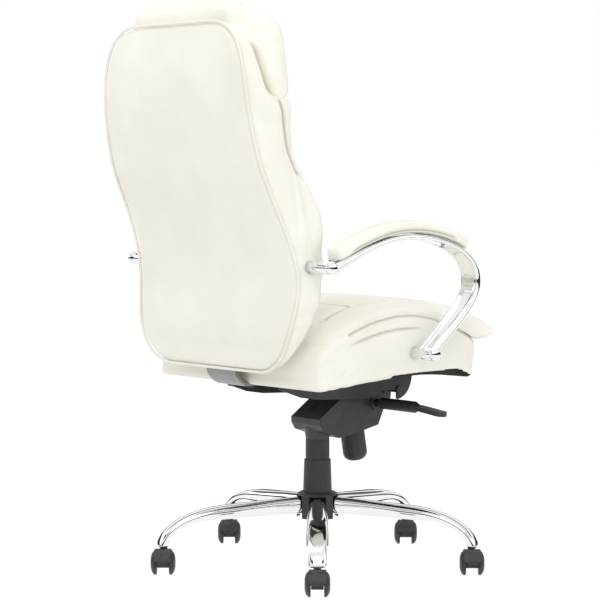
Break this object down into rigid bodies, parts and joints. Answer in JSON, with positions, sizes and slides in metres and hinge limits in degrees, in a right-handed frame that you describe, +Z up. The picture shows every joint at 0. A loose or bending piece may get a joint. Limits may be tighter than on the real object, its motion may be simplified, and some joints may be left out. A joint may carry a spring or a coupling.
{
  "type": "office chair",
  "caption": "High-back leather swivel office chair with chromed C-shaped arms, five-leg caster base, gas lift and tilting seat.",
  "frame": {"origin": "on the floor, under the column's axis", "axes": "+Z up; the sitter faces -Y; +X is the sitter's left"},
  "size_m": [0.6753, 0.7227, 1.157],
  "materials": {
    "chrome": "polished",
    "bright_steel": "satin",
    "zinc_steel": "satin",
    "black_steel": "satin",
    "black_plastic": "matte",
    "wheel_plastic": "satin",
    "bush_plastic": "matte",
    "leather": "satin",
    "plywood": "matte",
    "dust_fabric": "matte"
  },
  "bodies": {
    "base": {"hub_socket": "black_steel", "hub_cover": "black_plastic", "caster_stems": "zinc_steel", "leg_1": "chrome", "leg_2": "chrome", "leg_3": "chrome", "leg_4": "chrome", "leg_5": "chrome", "lift_outer_tube": "black_steel", "lift_guide_bush": "bush_plastic", "lift_thrust_bearing": "bright_steel", "cover_lower": "black_plastic"},
    "lift_rod": {"lift_piston_rod": "bright_steel", "lift_clip": "zinc_steel"},
    "mechanism": {"lift_cylinder": "black_steel", "cover_upper": "black_plastic", "mech_housing": "black_steel", "tilt_axle": "black_steel", "tension_spring": "zinc_steel"},
    "middle_cover": {"cover_middle": "black_plastic"},
    "seat_unit": {"seat_plate": "black_steel", "seat_board": "plywood", "seat_cushion": "leather", "seat_pillow": "leather", "dust_cover": "dust_fabric", "frame_bolts": "black_steel", "tee_nuts": "zinc_steel", "back_shell": "plywood", "back_cushion": "leather", "headrest_pillow": "leather", "back_panel": "leather", "back_bracket": "bright_steel", "arm_frame_right": "chrome", "arm_frame_left": "chrome", "arm_pad_right": "leather", "arm_pad_left": "leather", "arm_brackets": "zinc_steel", "arm_bolts": "black_steel", "pad_screws": "zinc_steel"},
    "collar": {"lever_collar": "black_plastic"},
    "lever": {"height_lever": "black_plastic"},
    "release_pin": {"lift_release_pin": "bright_steel"},
    "knob": {"tension_knob": "black_plastic", "tension_bolt": "zinc_steel"},
    "caster_1": {"caster_hood_1": "black_plastic"},
    "wheel_1a": {"caster_wheel_1a": "wheel_plastic"},
    "wheel_1b": {"caster_wheel_1b": "wheel_plastic"},
    "caster_2": {"caster_hood_2": "black_plastic"},
    "wheel_2a": {"caster_wheel_2a": "wheel_plastic"},
    "wheel_2b": {"caster_wheel_2b": "wheel_plastic"},
    "caster_3": {"caster_hood_3": "black_plastic"},
    "wheel_3a": {"caster_wheel_3a": "wheel_plastic"},
    "wheel_3b": {"caster_wheel_3b": "wheel_plastic"},
    "caster_4": {"caster_hood_4": "black_plastic"},
    "wheel_4a": {"caster_wheel_4a": "wheel_plastic"},
    "wheel_4b": {"caster_wheel_4b": "wheel_plastic"},
    "caster_5": {"caster_hood_5": "black_plastic"},
    "wheel_5a": {"caster_wheel_5a": "wheel_plastic"},
    "wheel_5b": {"caster_wheel_5b": "wheel_plastic"}
  },
  "joints": [
    {"name": "seat_swivel", "type": "hinge", "parent": "base", "child": "lift_rod", "pos_m": [0, 0, 0.05], "axis": [0, 0, 1], "continuous": true},
    {"name": "lift_height", "type": "slide", "parent": "lift_rod", "child": "mechanism", "axis": [0, 0, 1], "range_m": [0, 0.09]},
    {"name": "middle_cover_slide", "type": "slide", "parent": "base", "child": "middle_cover", "axis": [0, 0, 1], "range_m": [0, 0.045]},
    {"name": "seat_tilt", "type": "hinge", "parent": "mechanism", "child": "seat_unit", "pos_m": [0, -0.15, 0.362], "axis": [-1, 0, 0], "range_deg": [0, 12], "stiffness_Nm_per_rad": 180, "springref_deg": -16.04, "deforming": ["tension_spring"]},
    {"name": "lever_pull", "type": "slide", "parent": "mechanism", "child": "collar", "axis": [-1, 0, 0], "range_m": [0, 0.006]},
    {"name": "lever_lift", "type": "hinge", "parent": "collar", "child": "lever", "pos_m": [-0.047, -0.123, 0.334], "axis": [0, 1, 0], "range_deg": [0, 7], "stiffness_Nm_per_rad": 2, "springref_deg": -11.46},
    {"name": "release_pin_press", "type": "slide", "parent": "mechanism", "child": "release_pin", "axis": [0, 0, -1], "range_m": [0, 0.006]},
    {"name": "tension_turn", "type": "hinge", "parent": "mechanism", "child": "knob", "pos_m": [0, -0.097, 0.275], "axis": [0, 0.1736, 0.9848], "range_deg": [0, 1800]},
    {"name": "caster_1_swivel", "type": "hinge", "parent": "base", "child": "caster_1", "pos_m": [-0.24792, 0.2178, 0.05], "axis": [0, 0, 1], "continuous": true},
    {"name": "wheel_1a_roll", "type": "hinge", "parent": "caster_1", "child": "wheel_1a", "pos_m": [-0.26144, 0.22968, 0.025], "axis": [0.66, 0.7513, 0], "continuous": true},
    {"name": "wheel_1b_roll", "type": "hinge", "parent": "caster_1", "child": "wheel_1b", "pos_m": [-0.26144, 0.22968, 0.025], "axis": [0.66, 0.7513, 0], "continuous": true},
    {"name": "caster_2_swivel", "type": "hinge", "parent": "base", "child": "caster_2", "pos_m": [-0.28375, -0.16848, 0.05], "axis": [0, 0, 1], "continuous": true},
    {"name": "wheel_2a_roll", "type": "hinge", "parent": "caster_2", "child": "wheel_2a", "pos_m": [-0.29727, -0.1566, 0.025], "axis": [0.66, 0.7513, 0], "continuous": true},
    {"name": "wheel_2b_roll", "type": "hinge", "parent": "caster_2", "child": "wheel_2b", "pos_m": [-0.29727, -0.1566, 0.025], "axis": [0.66, 0.7513, 0], "continuous": true},
    {"name": "caster_3_swivel", "type": "hinge", "parent": "base", "child": "caster_3", "pos_m": [0.07255, -0.32193, 0.05], "axis": [0, 0, 1], "continuous": true},
    {"name": "wheel_3a_roll", "type": "hinge", "parent": "caster_3", "child": "wheel_3a", "pos_m": [0.05903, -0.31005, 0.025], "axis": [0.66, 0.7513, 0], "continuous": true},
    {"name": "wheel_3b_roll", "type": "hinge", "parent": "caster_3", "child": "wheel_3b", "pos_m": [0.05903, -0.31005, 0.025], "axis": [0.66, 0.7513, 0], "continuous": true},
    {"name": "caster_4_swivel", "type": "hinge", "parent": "base", "child": "caster_4", "pos_m": [0.32859, -0.03048, 0.05], "axis": [0, 0, 1], "continuous": true},
    {"name": "wheel_4a_roll", "type": "hinge", "parent": "caster_4", "child": "wheel_4a", "pos_m": [0.31507, -0.0186, 0.025], "axis": [0.66, 0.7513, 0], "continuous": true},
    {"name": "wheel_4b_roll", "type": "hinge", "parent": "caster_4", "child": "wheel_4b", "pos_m": [0.31507, -0.0186, 0.025], "axis": [0.66, 0.7513, 0], "continuous": true},
    {"name": "caster_5_swivel", "type": "hinge", "parent": "base", "child": "caster_5", "pos_m": [0.13053, 0.30309, 0.05], "axis": [0, 0, 1], "continuous": true},
    {"name": "wheel_5a_roll", "type": "hinge", "parent": "caster_5", "child": "wheel_5a", "pos_m": [0.11701, 0.31497, 0.025], "axis": [0.66, 0.7513, 0], "continuous": true},
    {"name": "wheel_5b_roll", "type": "hinge", "parent": "caster_5", "child": "wheel_5b", "pos_m": [0.11701, 0.31497, 0.025], "axis": [0.66, 0.7513, 0], "continuous": true}
  ],
  "couplings": [
    {"joint": "middle_cover_slide", "follows": "lift_height", "ratio": 0.5},
    {"joint": "release_pin_press", "follows": "lever_lift", "m_per_rad": 0.0468}
  ]
}
